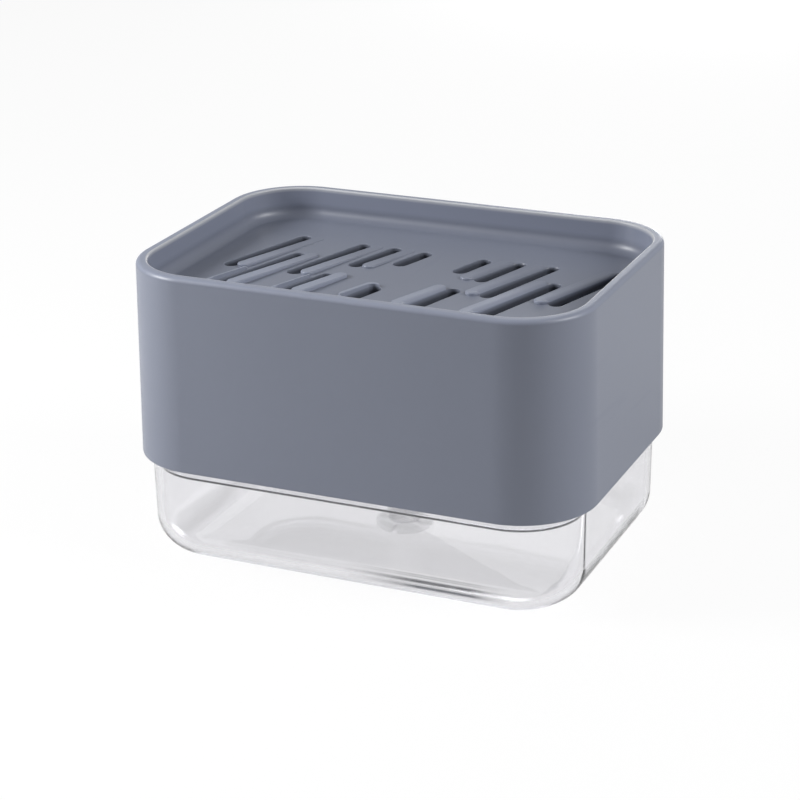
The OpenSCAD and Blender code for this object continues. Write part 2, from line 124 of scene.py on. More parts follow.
def turnedPiece(name, points, steps, x=0.0):
    bm = bmesh.new()
    outline(bm, points, closed=True)
    turnOutline(bm, steps)
    bmesh.ops.recalc_face_normals(bm, faces=bm.faces[:])
    bmesh.ops.translate(bm, vec=(x, 0, 0), verts=bm.verts[:])
    return newPiece(name, bm)


def roundBar(name, radius, low, high, x=0.0, edge=0.0, segments=rounds["hub"]):
    # upright bar whose upper edge may be rounded
    bm = bmesh.new()
    bmesh.ops.create_cone(bm, cap_ends=True, segments=segments, radius1=radius, radius2=radius,
                          depth=high - low, matrix=Matrix.Translation((x, 0, (low + high) / 2)))
    if edge > 0:
        upper = [e for e in bm.edges if all(v.co.z > high - tiny for v in e.verts)]
        bmesh.ops.bevel(bm, geom=upper, offset=edge, segments=arcs["full"], profile=0.5,
                        affect="EDGES", material=-1)
    return newPiece(name, bm)


def laidBar(name, radius, length, segments, place):
    # bar turned and moved to its place, to cut a way with
    bm = bmesh.new()
    bmesh.ops.create_cone(bm, cap_ends=True, segments=segments, radius1=radius, radius2=radius,
                          depth=length, matrix=place)
    return newPiece(name, bm)


def block(name, low, high, turn=0.0, edge=0.0):
    # box from one corner to the other, turned about the upright axis, its edges rounded
    bm = bmesh.new()
    bmesh.ops.create_cube(bm, size=1)
    bmesh.ops.scale(bm, vec=[b - a for a, b in zip(low, high)], verts=bm.verts[:])
    bmesh.ops.translate(bm, vec=[(a + b) / 2 for a, b in zip(low, high)], verts=bm.verts[:])
    if edge > 0:
        bmesh.ops.bevel(bm, geom=bm.edges[:], offset=edge, segments=arcs["soft"], profile=0.5,
                        affect="EDGES", material=-1)
    bmesh.ops.rotate(bm, verts=bm.verts[:], matrix=Matrix.Rotation(math.radians(turn), 3, "Z"))
    return newPiece(name, bm)


def combine(piece, tools, operation):
    bm = bmesh.new()
    for tool in tools:
        bm.from_mesh(tool.data)
        bpy.data.objects.remove(tool)
    tool = newPiece("tools", bm)
    change = piece.modifiers.new("change", "BOOLEAN")
    change.operation, change.solver, change.object = operation, "EXACT", tool
    change.use_self = True
    bpy.context.view_layer.update()
    graph = bpy.context.evaluated_depsgraph_get()
    mesh = bpy.data.meshes.new_from_object(piece.evaluated_get(graph))
    piece.modifiers.clear()
    piece.data = mesh
    bpy.data.objects.remove(tool)


def smooth(piece):
    bm = bmesh.new()
    bm.from_mesh(piece.data)
    bmesh.ops.remove_doubles(bm, verts=bm.verts[:], dist=tiny)
    bmesh.ops.dissolve_degenerate(bm, edges=bm.edges[:], dist=tiny)
    bm.to_mesh(piece.data)
    bm.free()
    for face in piece.data.polygons:
        face.use_smooth = True
    piece.data.set_sharp_from_angle(angle=math.radians(smoothAngle))
    weigh = piece.modifiers.new("weigh", "WEIGHTED_NORMAL")
    weigh.keep_sharp = True


def settle(piece, node, body):
    smooth(piece)
    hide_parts(node)
    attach(piece, body)
    print(piece.name, "made,", len(piece.data.polygons), "faces")
    return piece


# Caddy shell: skirt, rim and dish in one sweep, then the guides, the slots and the ribs
shell = {
    "top": 94 * mm, "foot": 32.5 * mm, "footRadius": 24 * mm, "rimRadius": 22.9 * mm, "wall": 2 * mm,
    "rim": 3.4 * mm, "rimRound": 1.5 * mm, "rimEdge": 0.5 * mm, "footRound": 0.5 * mm,
    "innerRound": 0.9 * mm, "dishDepth": 10 * mm, "floor": 2.4 * mm, "fillet": 3.5 * mm,
    "floorMargin": 1.2 * mm,
    "sleeveX": 48 * mm, "sleeveRadius": 6.9 * mm, "sleeveBore": 5.15 * mm, "sleeveFoot": 60.6 * mm,
    "socketRadius": 10.4 * mm, "socketBore": 8.6 * mm, "socketDepth": 5 * mm, "joint": 0.5 * mm,
    "armWay": 7.8 * mm, "armTurn": -106.7, "armDepth": 7.6 * mm, "armReach": 17 * mm,
}
dishZ = shell["top"] - shell["dishDepth"]
underZ = dishZ - shell["floor"]

slots = {
    "width": 4.7 * mm, "pitch": 10.9 * mm, "first": 10 * mm, "lean": 16.7, "halfWidth": 48.3 * mm,
    "edge": 0.25 * mm, "soft": 0.9 * mm, "steps": 6, "segments": 32, "over": 2.2 * mm,
    # line counted from the middle, and both ends as shares of half the dish's width
    "shares": [(5, -0.17, 0.585), (4, -0.54, 0.24), (3, -0.17, 0.56), (2, 0.1, 0.56),
               (2, -0.54, -0.08), (1, 0.215, 0.54)],
    "middle": (-0.54, -0.22),
}

# Ribs beside the slots, and narrow lips on the left of the front ones; all are highest at the front
ribs = {
    "width": 4.2 * mm, "round": 0.45 * mm, "steps": 4, "foot": 0.3 * mm, "overlap": 0.05 * mm,
    "front": 1.5 * mm, "back": 0.1 * mm, "run": (-0.54, 0.585),
    "lip": 1.2 * mm, "lipLines": (2, 4), "lipEnd": -0.19,
}
ribFall = (ribs["front"] - ribs["back"]) / ((ribs["run"][1] - ribs["run"][0]) * slots["halfWidth"])
ribTop = dishZ + ribs["front"] + ribFall * ribs["run"][0] * slots["halfWidth"]


def lineX(line):
    return slots["first"] + (line - 1) * slots["pitch"]


def oblong(name, x, start, end, width, levels, shift=(0, 0), fall=0.0):
    # round-ended oblong on the leaning line that crosses the middle at x. levels: height, how far the
    # outline is grown there and moved to the left; all but the first fall toward the back
    lean = math.radians(slots["lean"])
    y0, y1 = start * slots["halfWidth"], end * slots["halfWidth"]
    length, y = (y1 - y0) / math.cos(lean), (y0 + y1) / 2
    bm = bmesh.new()
    bmesh.ops.create_circle(bm, cap_ends=True, radius=width / 2, segments=slots["segments"])
    halfSide = Matrix.Rotation(math.pi / slots["segments"], 3, "Z")
    bmesh.ops.rotate(bm, verts=bm.verts[:], matrix=halfSide)
    half = (length - width) / 2
    for way in (-1, 1):
        bmesh.ops.translate(bm, vec=(0, way * half, 0), verts=[v for v in bm.verts if v.co.y * way > 0])
    bmesh.ops.translate(bm, vec=(0, 0, levels[0][0]), verts=bm.verts[:])
    ring, radius, left = bm.edges[:], width / 2, 0.0
    for z, grown, aside in levels[1:]:
        drawn = bmesh.ops.extrude_edge_only(bm, edges=ring)["geom"]
        ring, verts = pick(drawn, bmesh.types.BMEdge), pick(drawn, bmesh.types.BMVert)
        bmesh.ops.translate(bm, vec=(left - aside, 0, z - verts[0].co.z), verts=verts)
        grow = (width / 2 + grown) / radius
        for way in (-1, 1):
            bmesh.ops.scale(bm, vec=(grow, grow, 1), verts=[v for v in verts if v.co.y * way > 0],
                            space=Matrix.Translation((aside, -way * half, 0)))
        radius, left = width / 2 + grown, aside
    bmesh.ops.contextual_create(bm, geom=ring)
    bmesh.ops.recalc_face_normals(bm, faces=bm.faces[:])
    bmesh.ops.rotate(bm, verts=bm.verts[:], matrix=Matrix.Rotation(-lean, 3, "Z"))
    bmesh.ops.translate(bm, vec=(x + y * math.tan(lean) + shift[0], y + shift[1], 0), verts=bm.verts[:])
    if fall:
        shear = Matrix(((1, 0, 0), (0, 1, 0), (0, -fall, 1)))
        upper = [v for v in bm.verts if v.co.z > levels[0][0] + tiny]
        bmesh.ops.transform(bm, matrix=shear, verts=upper)
    return newPiece(name, bm)


def arcLevels(top, r, steps):
    # heights up a rounded upper edge, and how far it has turned in from the upright side
    turns = [math.pi / 2 * i / steps for i in range(steps + 1)]
    return [(top - r + r * math.sin(t), r - r * math.cos(t)) for t in turns]


def barLevels(top, r):
    # upright sides and a rounded upper edge
    arc = arcLevels(top, r, ribs["steps"])
    return [(underZ + ribs["foot"], 0, 0)] + [(z, -inward, 0) for z, inward in arc]


def cutLevels(top, r, soft):
    # a cut whose upper edge is rounded; a soft one is upright on its right and opens by 2 r on its left
    arc = arcLevels(top, r, slots["steps"])
    levels = [(underZ - slots["over"], 0)] + arc + [(top + slots["over"], r)]
    return [(z, grown, grown if soft else 0) for z, grown in levels]


def slotTools():
    # sharp cuts, but on the right the edge between a rib and its slot is soft
    sharp = cutLevels(dishZ, slots["edge"], False)
    soft = cutLevels(ribTop, slots["soft"], True)
    made = []
    for line, start, end in slots["shares"]:
        for side in (-1, 1):
            levels, fall = (soft, ribFall) if side > 0 and line > 1 else (sharp, 0.0)
            x = side * lineX(line)
            made.append(oblong("slot", x, start, end, slots["width"], levels, fall=fall))
    return made


def ribBars():
    # each rib is flush with its slot, on the side that faces the middle, and each lip on the left
    stretch = 1 / math.cos(math.radians(slots["lean"]))
    levels = barLevels(ribTop, ribs["round"])
    bars = [(side, line, start, end, ribs["width"], 1)
            for line, start, end in slots["shares"] for side in (-1, 1) if line > 1]
    bars += [(-1, line, slots["middle"][0], ribs["lipEnd"], ribs["lip"], -1)
             for line in ribs["lipLines"]]
    made = []
    for side, line, start, end, width, way in bars:
        inset = way * (slots["width"] / 2 - ribs["overlap"] + width / 2) * stretch
        x = side * (lineX(line) - inset)
        made.append(oblong("rib", x, start, end, width, levels, fall=ribFall))
    return made


def makeShell():
    s = shell
    inner = s["rimRadius"] - s["rim"] - s["fillet"] - s["floorMargin"]
    piece = sweptPiece("caddyShell", [
        (inner, dishZ, 0, 0),
        (s["rimRadius"] - s["rim"], dishZ, s["fillet"], arcs["fillet"]),
        (s["rimRadius"] - s["rim"], s["top"], s["rimEdge"], arcs["soft"]),
        (s["rimRadius"], s["top"], s["rimRound"], arcs["rim"]),
        (s["footRadius"], s["foot"], s["footRound"], arcs["edge"]),
        (s["footRadius"] - s["wall"], s["foot"], s["footRound"], arcs["edge"]),
        (s["rimRadius"] - s["wall"], underZ, s["innerRound"], arcs["edge"]),
        (inner, underZ, 0, 0),
    ])
    sleeves = (-s["sleeveX"], s["sleeveX"])
    socketFoot = underZ - s["socketDepth"]
    combine(piece, [roundBar("sleeve", s["sleeveRadius"], s["sleeveFoot"], underZ + s["joint"], x)
                    for x in sleeves]
            + [roundBar("socket", s["socketRadius"], socketFoot, underZ + s["joint"])], "UNION")
    combine(piece, [roundBar("bore", s["sleeveBore"], s["sleeveFoot"] - s["joint"], underZ, x)
                    for x in sleeves]
            + [roundBar("bore", s["socketBore"], socketFoot - s["joint"], underZ)], "DIFFERENCE")
    combine(piece, [block("armWay", (0, -s["armWay"] / 2, underZ - s["armDepth"]),
                          (s["armReach"], s["armWay"] / 2, underZ), s["armTurn"])], "DIFFERENCE")

    # the middle slot's lip is a pad that the slot is cut through
    lip, first, last = ribs["lip"], *slots["middle"]
    padLevels, cut = barLevels(ribTop, ribs["round"]), cutLevels(ribTop, slots["edge"], False)
    pad = oblong("lip", 0, first, last, slots["width"], padLevels, (-lip, lip), ribFall)
    combine(piece, ribBars() + [pad], "UNION")
    middle = oblong("slot", 0, first, last, slots["width"], cut, fall=ribFall)
    combine(piece, slotTools() + [middle], "DIFFERENCE")
    return settle(piece, "caddy_shell", "dish")


# Clear tub
tub = {
    "height": 36 * mm, "radius": 21 * mm, "baseRadius": 20.5 * mm, "wall": 2.2 * mm, "floor": 2.4 * mm,
    "round": 11.5 * mm, "lipRound": 0.5 * mm, "floorMargin": 1.5 * mm,
}


def makeTub():
    t = tub
    inner = t["baseRadius"] - t["round"] - t["floorMargin"]
    return settle(sweptPiece("clearTub", [
        (inner, 0, 0, 0),
        (t["baseRadius"], 0, t["round"], arcs["base"]),
        (t["radius"], t["height"], t["lipRound"], arcs["edge"]),
        (t["radius"] - t["wall"], t["height"], t["lipRound"], arcs["edge"]),
        (t["baseRadius"] - t["wall"], t["floor"], t["round"] - t["wall"], arcs["base"]),
        (inner, t["floor"], 0, 0),
    ]), "reservoir", "reservoir")


# Clear lid: plate, gutter rim and grooved plug flange in one sweep, then the tower and the posts
lid = {
    "low": 36.02 * mm, "top": 38.4 * mm, "gutterTop": 41 * mm, "gutter": 1.8 * mm, "radius": 21 * mm,
    "plugLow": 28.3 * mm, "plugRadius": 18.3 * mm, "plug": 2.6 * mm, "grooveRadius": 16.6 * mm,
    "groove": (31 * mm, 33.2 * mm), "edge": 0.4 * mm, "joinMargin": 2 * mm,
    "tower": 15.5 * mm, "towerBore": 12.9 * mm, "towerTop": 56.8 * mm,
    "beadZ": 55.7 * mm, "bead": 0.5 * mm,
    "postX": 48 * mm, "post": 4 * mm, "postTop": 72.6 * mm, "postEdge": 1.2 * mm, "foot": 1.6 * mm,
    "vent": 0.8 * mm, "ventZ": 47 * mm,
}


def makeLid():
    d = lid
    inner, outer, e = d["plugRadius"] - d["plug"], d["plugRadius"], d["edge"]
    piece = sweptPiece("clearLid", [
        (inner - d["joinMargin"], d["low"], 0, 0),
        (inner, d["low"], e, arcs["fine"]),
        (inner, d["plugLow"], e, arcs["fine"]),
        (outer, d["plugLow"], e, arcs["fine"]),
        (outer, d["groove"][0], 0, 0),
        (d["grooveRadius"], d["groove"][0], 0, 0),
        (d["grooveRadius"], d["groove"][1], 0, 0),
        (outer, d["groove"][1], 0, 0),
        (outer, d["low"], e, arcs["fine"]),
        (d["radius"], d["low"], e, arcs["fine"]),
        (d["radius"], d["gutterTop"], 2 * e, arcs["soft"]),
        (d["radius"] - d["gutter"], d["gutterTop"], 2 * e, arcs["soft"]),
        (d["radius"] - d["gutter"], d["top"], e, arcs["fine"]),
        (inner - d["joinMargin"], d["top"], 0, 0),
    ])
    sunk = d["top"] - e
    tower = turnedPiece("tower", [
        (d["towerBore"] - 2 * e, sunk, 0, 0),
        (d["tower"] + d["foot"], sunk, 0, 0),
        (d["tower"] + d["foot"], d["top"], 0, 0),
        (d["tower"], d["top"], d["foot"], arcs["full"]),
        (d["tower"], d["beadZ"] - d["bead"], 0, 0),
        (d["tower"] + d["bead"], d["beadZ"], d["bead"] / 2, arcs["fine"]),
        (d["tower"], d["beadZ"] + d["bead"], 0, 0),
        (d["tower"], d["towerTop"], e, arcs["fine"]),
        (d["towerBore"] - 2 * e, d["towerTop"], 0, 0),
    ], rounds["tower"])
    posts = [turnedPiece("post", [
        (e, sunk, 0, 0),
        (d["post"] + d["foot"], sunk, 0, 0),
        (d["post"] + d["foot"], d["top"], 0, 0),
        (d["post"], d["top"], d["foot"], arcs["full"]),
        (d["post"], d["postTop"], d["postEdge"], arcs["rim"]),
        (e, d["postTop"], 0, 0),
    ], rounds["post"], x) for x in (-d["postX"], d["postX"])]
    cores = [roundBar("core", 2 * e, sunk, d["postTop"], x) for x in (-d["postX"], d["postX"])]
    combine(piece, [tower] + posts + cores, "UNION")
    bore = roundBar("bore", d["towerBore"], d["low"] - e, d["towerTop"] + e, segments=rounds["tower"])
    ventPlace = Matrix.Translation((0, d["tower"], d["ventZ"])) @ Matrix.Rotation(math.pi / 2, 4, "X")
    vent = laidBar("vent", d["vent"], 2 * d["tower"], rounds["vent"], ventPlace)
    combine(piece, [bore, vent], "DIFFERENCE")
    return settle(piece, "reservoir_lid", "lid_and_pump")


# Retaining cap with a gripping edge: a grip takes three steps of the turn, and two of them stand proud
cap = {
    "radius": 17.7 * mm, "bore": 4.9 * mm, "inner": 15.9 * mm, "top": 63.6 * mm, "roof": 2 * mm,
    "low": 54.6 * mm, "edge": 1.0 * mm, "topEdge": 1.4 * mm, "fine": 0.4 * mm,
    "groove": (55.1 * mm, 56.4 * mm), "grooveRadius": 16.4 * mm,
    "grips": 36, "gripSteps": 3, "gripScale": 1.022, "wallCuts": 2,
}


def makeCap():
    c = cap
    wall = c["radius"] - tiny
    bm = bmesh.new()
    edges = outline(bm, [
        (c["bore"], c["top"] - c["roof"], c["fine"], arcs["fine"]),
        (c["inner"], c["top"] - c["roof"], c["edge"], arcs["edge"]),
        (c["inner"], c["groove"][1], 0, 0),
        (c["grooveRadius"], (c["groove"][0] + c["groove"][1]) / 2, c["fine"], arcs["fine"]),
        (c["inner"], c["groove"][0], 0, 0),
        (c["inner"], c["low"], c["fine"], arcs["least"]),
        (c["radius"], c["low"], c["fine"], arcs["fine"]),
        (c["radius"], c["top"], c["topEdge"], arcs["full"]),
        (c["bore"], c["top"], c["fine"], arcs["fine"]),
    ], closed=True)
    upright = [e for e in edges if all(v.co.x > wall for v in e.verts)]
    bmesh.ops.subdivide_edges(bm, edges=upright, cuts=c["wallCuts"])
    steps = c["grips"] * c["gripSteps"]
    turnOutline(bm, steps)
    proud = []
    for vert in bm.verts:
        step = round(math.atan2(vert.co.y, vert.co.x) / (2 * math.pi) * steps)
        middle = c["low"] + c["edge"] < vert.co.z < c["top"] - 2 * c["edge"]
        if vert.co.xy.length > wall and middle and step % c["gripSteps"]:
            proud.append(vert)
    bmesh.ops.scale(bm, vec=(c["gripScale"], c["gripScale"], 1), verts=proud)
    bmesh.ops.recalc_face_normals(bm, faces=bm.faces[:])
    return settle(newPiece("retainingCap", bm), "retaining_cap", "lid_and_pump")


# Pump head: hub, arm and riser, all with soft edges. The arm lies in the shell's arm way
head = {
    "radius": 8.5 * mm, "low": 71.6 * mm, "top": 81.6 * mm, "stemBore": 4.55 * mm, "stemTop": 74.9 * mm,
    "roomBore": 2.8 * mm, "roomTop": 80.4 * mm, "edge": 0.7 * mm, "fine": 0.3 * mm,
    "armLow": 74.4 * mm, "armTop": 80.4 * mm, "armHalf": 3.5 * mm, "armEnd": 26.68 * mm,
    "outlet": (-6.665 * mm, -22.218 * mm), "riser": 1.4 * mm, "riserTop": 82.65 * mm,
    "channel": 1.3 * mm, "channelZ": 77.4 * mm,
}


def makeHead():
    h = head
    piece = turnedPiece("pumpHead", [
        (h["stemBore"], h["low"], h["fine"], arcs["fine"]),
        (h["radius"], h["low"], h["edge"], arcs["soft"]),
        (h["radius"], h["top"], h["edge"], arcs["soft"]),
        (h["fine"], h["top"], 0, 0),
        (h["fine"], h["roomTop"], 0, 0),
        (h["roomBore"], h["roomTop"], 0, 0),
        (h["roomBore"], h["stemTop"], 0, 0),
        (h["stemBore"], h["stemTop"], 0, 0),
    ], rounds["hub"])
    arm = block("arm", (h["roomBore"] + h["edge"], -h["armHalf"], h["armLow"]),
                (h["armEnd"], h["armHalf"], h["armTop"]), shell["armTurn"], h["edge"])
    riser = roundBar("riser", h["riser"], h["armTop"] - h["edge"], h["riserTop"], edge=h["fine"])
    riser.data.transform(Matrix.Translation((*h["outlet"], 0)))
    core = roundBar("core", 2 * h["fine"], h["roomTop"], h["top"])
    combine(piece, [arm, riser, core], "UNION")
    channelPlace = (Matrix.Rotation(math.radians(shell["armTurn"]), 4, "Z")
                    @ Matrix.Translation((h["armEnd"] / 2 + h["fine"], 0, h["channelZ"]))
                    @ Matrix.Rotation(math.pi / 2, 4, "Y"))
    channel = laidBar("channel", h["channel"], h["armEnd"], rounds["channel"], channelPlace)
    combine(piece, [channel], "DIFFERENCE")
    return settle(piece, "pump_head", "plunger")


# Intake foot under the dip tube
foot = {
    "low": 2.7 * mm, "flangeTop": 4.7 * mm, "sleeveTop": 7.1 * mm, "radius": 9 * mm, "bore": 3.5 * mm,
    "sleeve": 6.25 * mm, "socket": 5.05 * mm, "edge": 0.5 * mm, "fillet": 0.9 * mm, "inlet": 1.2 * mm,
    "inletTop": 3.9 * mm,
}


def makeFoot():
    f = foot
    piece = turnedPiece("intakeFoot", [
        (f["bore"], f["low"], 0, 0),
        (f["radius"], f["low"], f["edge"], arcs["edge"]),
        (f["radius"], f["flangeTop"], f["edge"], arcs["edge"]),
        (f["sleeve"], f["flangeTop"], f["fillet"], arcs["soft"]),
        (f["sleeve"], f["sleeveTop"], f["edge"], arcs["edge"]),
        (f["socket"], f["sleeveTop"], 0, 0),
        (f["socket"], f["flangeTop"], 0, 0),
        (f["bore"], f["flangeTop"], 0, 0),
    ], rounds["hub"])
    reach, under = f["radius"] + f["edge"], f["low"] - f["edge"]
    low, high = (-reach, -f["inlet"], under), (reach, f["inlet"], f["inletTop"])
    combine(piece, [block("inlet", low, high, turn) for turn in (0, 90)], "DIFFERENCE")
    return settle(piece, "intake_foot", "lid_and_pump")


# Return spring: one round wire, whose ends sit close to their seats
spring = {
    "radius": 6.7 * mm, "wire": 0.6 * mm, "low": 39.3 * mm, "length": 12.4 * mm, "gap": 0.02 * mm,
    "turns": 3, "steps": 48, "sides": 16, "travel": 7 * mm,
}


def makeSpring():
    s = spring
    bm = bmesh.new()
    steps = s["turns"] * s["steps"]
    rise = s["length"] - 2 * (s["wire"] + s["gap"])
    place = Matrix.Translation((s["radius"], 0, s["low"] + s["wire"] + s["gap"]))
    bmesh.ops.create_circle(bm, radius=s["wire"], segments=s["sides"],
                            matrix=place @ Matrix.Rotation(math.pi / 2, 4, "X"))
    bmesh.ops.spin(bm, geom=bm.edges[:] + bm.verts[:], cent=(0, 0, 0), axis=(0, 0, 1),
                   dvec=(0, 0, rise / steps), angle=2 * math.pi * s["turns"], steps=steps,
                   use_duplicate=False)
    fillHoles(bm)
    piece = settle(newPiece("returnCoil", bm), "return_spring", "lid_and_pump")
    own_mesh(piece)
    return piece


# Shader helpers
class Wire:
    # one socket that takes part in sums

    def __init__(self, tree, socket):
        self.tree, self.socket = tree, socket

    def sum(self, operation, other, swapped=False):
        node = self.tree.nodes.new("ShaderNodeMath")
        node.operation = operation
        pair = (other, self) if swapped else (self, other)
        for value, socket in zip(pair, node.inputs):
            if isinstance(value, Wire):
                self.tree.links.new(value.socket, socket)
            else:
                socket.default_value = value
        return Wire(self.tree, node.outputs[0])

    def absolute(self):
        return self.sum("ABSOLUTE", 0.0)

    def below(self, other):
        # 1 where it is less than the other, and 0 elsewhere
        return self.sum("LESS_THAN", other)

    def above(self, other):
        # never less than the other
        return self.sum("MAXIMUM", other)

    def __add__(self, other):
        return self.sum("ADD", other)

    def __radd__(self, other):
        return self.sum("ADD", other, True)

    def __sub__(self, other):
        return self.sum("SUBTRACT", other)

    def __rsub__(self, other):
        return self.sum("SUBTRACT", other, True)

    def __mul__(self, other):
        return self.sum("MULTIPLY", other)

    def __rmul__(self, other):
        return self.sum("MULTIPLY", other, True)


class Finish:
    # one material, made node by node

    def __init__(self, tree):
        self.tree = tree
        self.tree.nodes.clear()

    def node(self, kind, settings, values, out=0):
        node = self.tree.nodes.new(kind)
        for key, value in settings.items():
            if key == "stops":
                for element, (place, shade) in zip(node.color_ramp.elements, value):
                    element.position, element.color = place, (shade, shade, shade, 1)
            else:
                setattr(node, key, value)
        for key, value in values.items():
            if isinstance(value, Wire):
                self.tree.links.new(value.socket, node.inputs[key])
            else:
                node.inputs[key].default_value = value
        return Wire(self.tree, node.outputs[out]) if node.outputs else None

    def noise(self, scale, detail, stretch=(1, 1, 1)):
        coords = self.node("ShaderNodeTexCoord", {}, {}, "Object")
        place = self.node("ShaderNodeMapping", {}, {"Vector": coords, "Scale": stretch})
        values = {"Vector": place, "Scale": scale, "Detail": detail}
        return self.node("ShaderNodeTexNoise", {}, values, "Fac")

    def mix(self, factor, a, b):
        # this node takes two colours at its sockets 6 and 7, and gives their mix at its output 2
        return self.node("ShaderNodeMix", {"data_type": "RGBA"}, {0: factor, 6: a, 7: b}, 2)

    def ramp(self, value, low, high):
        return self.node("ShaderNodeValToRGB", {"stops": [(low, 0), (high, 1)]}, {"Fac": value})

    def bump(self, height, depth, strength):
        values = {"Height": height, "Distance": depth, "Strength": strength}
        return self.node("ShaderNodeBump", {}, values)

    def place(self, axis):
        coords = self.node("ShaderNodeTexCoord", {}, {}, "Object")
        return self.node("ShaderNodeSeparateXYZ", {}, {"Vector": coords}, axis)

    def surface(self, values):
        shade = self.node("ShaderNodeBsdfPrincipled", {}, values)
        self.node("ShaderNodeOutputMaterial", {}, {"Surface": shade})

    def clearSurface(self, values, shadow, absorb, density):
        # light reaches what stands inside, and long ways through the plastic darken
        shade = self.node("ShaderNodeBsdfPrincipled", {}, values)
        bare = self.node("ShaderNodeBsdfTransparent", {}, {"Color": shadow})
        lit = self.node("ShaderNodeLightPath", {}, {}, "Is Shadow Ray")
        mixed = self.node("ShaderNodeMixShader", {}, {0: lit, 1: shade, 2: bare})
        depth = self.node("ShaderNodeVolumeAbsorption", {}, {"Color": absorb, "Density": density})
        self.node("ShaderNodeOutputMaterial", {}, {"Surface": mixed, "Volume": depth})


def newMaterial(name):
    material = bpy.data.materials.new(name)
    material.use_nodes = True
    return material, Finish(material.node_tree)


def colour(r, g, b):
    return (r, g, b, 1)


def darker(tone, share):
    # a share above 1 makes it paler
    return tuple(c * share for c in tone[:3]) + (1,)


# Slate plastic, with painted shade inside the slots, painted light on the ribs and the dish's walls, a
# painted sheen on the rim and a painted highlight line along its inner edge.
# A noise is its scale, detail and stretch, and a ramp is where it starts and where it is full
slate = {
    "tone": colour(0.150, 0.165, 0.212), "flow": colour(0.166, 0.182, 0.231), "ior": 1.45,
    "roughness": 0.38, "flowNoise": (18, 3, (1, 1, 0.45)), "flowSpread": 0.08,
    "speckleNoise": (2600, 1), "speckleSpread": 0.04,
    "scuffNoise": (240, 4, (1, 0.08, 1)), "scuffRamp": (0.62, 0.78), "scuffSpread": 0.04,
    "grainNoise": (900, 2), "grain": 0.02 * mm, "grainStrength": 0.2,
    "slotHalf": (65.4 * mm, 30 * mm), "shade": 0.35, "shadeDepth": 1.4 * mm, "shadeRamp": (0.05, 1),
    "ribLightTone": 1.4, "ribRise": 0.1 * mm, "ribRamp": (0.5, 1), "ribLightFrom": -12 * mm, "ribLightTo": 16 * mm,
    "wallLightTone": 1.35, "wallLightRamp": (0.3, 0.5), "wallLightReach": 1.02,
    "rimSheenTone": 1.35, "rimSheenDepth": 1.4 * mm, "rimSheenRamp": (0, 0.7),
    "rimGlintTone": colour(0.46, 0.47, 0.50), "rimGlintWidth": 0.045, "lineRamp": (0.4, 1),
}


def slatePlastic():
    p = slate
    material, f = newMaterial("slatePlastic")
    flow, speckle = f.noise(*p["flowNoise"]), f.noise(*p["speckleNoise"])
    scuff = f.ramp(f.noise(*p["scuffNoise"]), *p["scuffRamp"])
    x, y, z = [f.place(axis) for axis in "XYZ"]
    inside = x.absolute().below(p["slotHalf"][0]) * y.absolute().below(p["slotHalf"][1])
    # painted shade: the slate is darker below the dish floor, inside the slots
    paintedSlotShade = f.ramp((dishZ - z) * (1 / p["shadeDepth"]), *p["shadeRamp"]) * inside
    # painted light: the ribs' tops are paler, fading toward the back
    ribLightFade = (p["ribLightTo"] - y) * (1 / (p["ribLightTo"] - p["ribLightFrom"]))
    paintedRibLight = f.ramp((z - dishZ) * (1 / p["ribRise"]), *p["ribRamp"]) * f.ramp(ribLightFade, 0, 1) * inside
    tone = f.mix(flow, p["tone"], p["flow"])
    tone = f.mix(paintedRibLight, tone, darker(p["flow"], p["ribLightTone"]))
    tone = f.mix(paintedSlotShade, tone, darker(p["tone"], p["shade"]))

    # reach is 1 along the rim's inner edge, which catches most light and gets a painted highlight line,
    # and less inside it
    aside, along = (x.absolute() - corners["x"]).above(0.0), (y.absolute() - corners["y"]).above(0.0)
    edgeRadius = shell["rimRadius"] - shell["rim"]
    reach = (aside * aside + along * along) * (1 / edgeRadius ** 2)
    # painted light: the dish's inner walls are paler from partway up
    wall = f.ramp((z - dishZ) * (1 / shell["dishDepth"]), *p["wallLightRamp"]) * reach.below(p["wallLightReach"])
    # painted sheen: the top of the rim is paler
    rim = f.ramp((z - shell["top"] + p["rimSheenDepth"]) * (1 / p["rimSheenDepth"]), *p["rimSheenRamp"])
    # painted highlight: a thin pale line along the rim's inner edge
    fromRimGlint = (reach - 1.0 - p["rimGlintWidth"] / 2).absolute() * (1 / p["rimGlintWidth"])
    line = rim * (1 - f.ramp(fromRimGlint, *p["lineRamp"]))
    tone = f.mix(wall, tone, darker(p["tone"], p["wallLightTone"]))
    tone = f.mix(rim, tone, darker(p["flow"], p["rimSheenTone"]))
    tone = f.mix(line, tone, p["rimGlintTone"])
    roughness = (p["roughness"] + (flow - 0.5) * p["flowSpread"] + scuff * p["scuffSpread"]
                 + (speckle - 0.5) * p["speckleSpread"])
    f.surface({
        "Base Color": tone, "Roughness": roughness, "IOR": p["ior"],
        "Normal": f.bump(f.noise(*p["grainNoise"]), p["grain"], p["grainStrength"])})
    return material


# Clear plastic of the tub and the lid
clear = {
    "tone": colour(0.93, 0.928, 0.938), "cloud": colour(0.955, 0.953, 0.962), "cloudNoise": (30, 3),
    "roughness": 0.04, "cloudRamp": (0.45, 0.9), "cloudSpread": 0.05, "ior": 1.49,
    "waveNoise": (55, 2, (1, 1, 0.5)), "wave": 0.1 * mm, "waveStrength": 0.35,
    "shadow": colour(0.9, 0.9, 0.92), "absorb": colour(0.45, 0.45, 0.52), "density": 45.0,
    "edgeShadeTone": colour(0.50, 0.51, 0.53), "edge": 0.25 * mm, "edgeShadeRamp": (0.6, 1),
}

